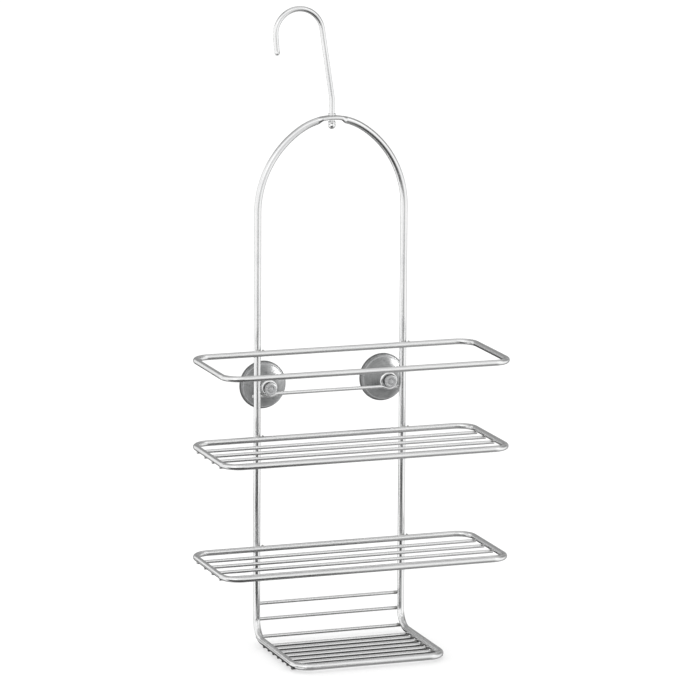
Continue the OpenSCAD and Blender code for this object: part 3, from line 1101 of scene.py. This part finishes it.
def mirror_card(name, outlines, brightness):
    """Flat sheets that only mirrored light can see: they shape the tones that run along the wire."""
    card = sheet(name, outlines, CARD_DROP)
    card.data.materials.append(glowing(name, (0, 0, 0, 1), 0, brightness))
    card.visible_camera = False
    card.visible_diffuse = False
    card.visible_transmission = False
    card.visible_shadow = False


def make_cards():
    """Dark sheets on the floor, in front and under the soap shelf, and a low grey card behind."""
    left, right, widening = -0.7, 0.01, 0.28
    front, rear, near = -1.32, -0.1, -0.055
    half = UPRIGHT_X + 12 * MM
    under_front, under_rear = SOAP_FRONT_Y + 8 * MM, UPRIGHT_Y - 8 * MM
    in_front = ((left, front, 0), (right + widening, front, 0), (right, rear, 0), (left, rear, 0))
    beside = ((left, rear, 0), (-half, rear, 0), (-half, near, 0), (left, near, 0))
    under = ((-half, under_front, 0), (half, under_front, 0), (half, under_rear, 0), (-half, under_rear, 0))
    mirror_card("dark_table", (in_front, beside, under), 0.08)
    wide, behind, tall = 0.35, 0.32, 0.065
    low_card = ((-wide, behind, 0), (wide, behind, 0), (wide, behind, tall), (-wide, behind, tall))
    mirror_card("low_rear_card", (low_card,), 0.3)


# ---------------------------------------------------------------- light and camera

# What the wire mirrors: a level, soft lobes that are added to it, and gaps that darken it.
# A lobe is azimuth, elevation, full radius, faded radius in degrees, and strength.
# A gap is the same, but its last value is the part of the light that is left.
STUDIO_BASE = 0.5
STUDIO_WHITE = 1.15
SOFTBOXES = (
    (60, 0, 32, 56, 0.9),
    (-76, -2, 42, 62, 0.85),
    (40, 70, 25, 62, 0.45),
    (-18, 32, 14, 40, 0.6),
    (-4, -12, 8, 26, 0.4),
)
DARK_GAPS = (
    (90, 30, 12, 34, 0.4),
    (178, -24, 14, 36, 0.1),
    (172, 8, 16, 34, 0.75),
    (0, -46, 16, 46, 0.62),
)

# Watts per square metre that give a rectangular light a radiance of one
WATTS_PER_AREA = 4

# The photo's camera: degrees, metres and millimetres of film
CAMERA_AZIMUTH = -19.82
CAMERA_ELEVATION = 11.29
CAMERA_ROLL = 0.394
CAMERA_DISTANCE = 4.0
CAMERA_TARGET = Vector((17.9 * MM, UPRIGHT_Y, 253.7 * MM))
FILM_WIDTH = 36
LENS_LENGTH = 238.2


def direction(azimuth, elevation):
    """The way from the caddy to a place seen at this azimuth and elevation; azimuth 0 is in front."""
    a, e = math.radians(azimuth), math.radians(elevation)
    return Vector((math.sin(a) * math.cos(e), -math.cos(a) * math.cos(e), math.sin(e)))


def facing(right, up, back):
    """The rotation of a light or camera, from its own three axes."""
    return Matrix((right, up, back)).transposed().to_4x4()


def lobe(tree, way, azimuth, elevation, inner, outer):
    """One inside the inner radius about a direction, fading to nothing at the outer radius."""
    dot = tree.nodes.new("ShaderNodeVectorMath")
    dot.operation = "DOT_PRODUCT"
    link(tree, way, dot.inputs[0])
    dot.inputs[1].default_value = direction(azimuth, elevation)
    faded, full = math.cos(math.radians(outer)), math.cos(math.radians(inner))
    return ramp(tree, dot.outputs["Value"], faded, full, 0.0, 1.0)


def make_studio():
    """A white studio. Mirrored rays see soft lobes and dark gaps in the place of plain white."""
    world = bpy.data.worlds.new("studio")
    bpy.context.scene.world = world
    world.use_nodes = True
    tree = world.node_tree
    tree.nodes.clear()
    way = tree.nodes.new("ShaderNodeTexCoord").outputs["Generated"]

    level = None
    for azimuth, elevation, inner, outer, strength in SOFTBOXES:
        part = maths(tree, "MULTIPLY", lobe(tree, way, azimuth, elevation, inner, outer), strength)
        level = part if level is None else maths(tree, "ADD", level, part)
    level = maths(tree, "ADD", level, STUDIO_BASE)
    for azimuth, elevation, inner, outer, left_over in DARK_GAPS:
        gap = lobe(tree, way, azimuth, elevation, inner, outer)
        level = maths(tree, "MULTIPLY", level, ramp(tree, gap, 0.0, 1.0, 1.0, left_over))

    white = (1, 1, 1, 1)
    mirrored_light = node(tree, "ShaderNodeBackground", Color=white)
    link(tree, level, mirrored_light.inputs["Strength"])
    plain_light = node(tree, "ShaderNodeBackground", Color=white, Strength=STUDIO_WHITE)
    choose = tree.nodes.new("ShaderNodeMixShader")
    ray = tree.nodes.new("ShaderNodeLightPath")
    link(tree, ray.outputs["Is Glossy Ray"], choose.inputs["Fac"])
    link(tree, plain_light.outputs[0], choose.inputs[1])
    link(tree, mirrored_light.outputs[0], choose.inputs[2])
    output = tree.nodes.new("ShaderNodeOutputWorld")
    link(tree, choose.outputs[0], output.inputs["Surface"])


def softbox(name, azimuth, elevation, distance, wide, tall, radiance, only=()):
    """A rectangular light that faces the caddy's middle; only may list the pieces that it falls on."""
    aim = Vector((0, 0, 0.25))
    data = bpy.data.lights.new(name, "AREA")
    data.shape = "RECTANGLE"
    data.size, data.size_y = wide, tall
    data.energy = WATTS_PER_AREA * wide * tall * radiance
    light = linked(name, data)
    back = direction(azimuth, elevation)
    right = Z_AXIS.cross(back).normalized()
    turn = facing(right, back.cross(right), back)
    light.matrix_world = Matrix.Translation(aim + back * distance) @ turn
    light.visible_camera = False
    if only:
        lit = bpy.data.collections.new(name + "_falls_on")
        for piece in only:
            lit.objects.link(piece)
        light.light_linking.receiver_collection = lit


def make_lights():
    """A soft highlight on the cups' upper right, and a dim glow from the rear left."""
    cups = [bpy.data.objects[f"{side}_suction_cup_moulding"] for side in ("left", "right")]
    softbox("right_softbox", 94, 26, 1.3, 0.8, 0.9, 10.5, only=cups)
    softbox("rear_left_softbox", -140, -2, 0.75, 0.5, 1.0, 0.6)


def make_camera():
    """A long lens from a little to the left and above, turned by a fraction of a degree."""
    back = direction(CAMERA_AZIMUTH, CAMERA_ELEVATION)
    a, r = math.radians(CAMERA_AZIMUTH), math.radians(CAMERA_ROLL)
    right = Vector((math.cos(a), math.sin(a), 0))
    up = back.cross(right)
    right_turned = math.cos(r) * right + math.sin(r) * up
    up_turned = math.cos(r) * up - math.sin(r) * right
    data = bpy.data.cameras.new("camera")
    data.sensor_width = FILM_WIDTH
    data.lens = LENS_LENGTH
    camera = linked("camera", data)
    turn = facing(right_turned, up_turned, back)
    camera.matrix_world = Matrix.Translation(CAMERA_TARGET + back * CAMERA_DISTANCE) @ turn
    bpy.context.scene.camera = camera


make_floor()
make_cards()
make_studio()
make_lights()
make_camera()
bpy.context.scene.view_settings.view_transform = "Standard"
bpy.context.scene.view_settings.look = "None"
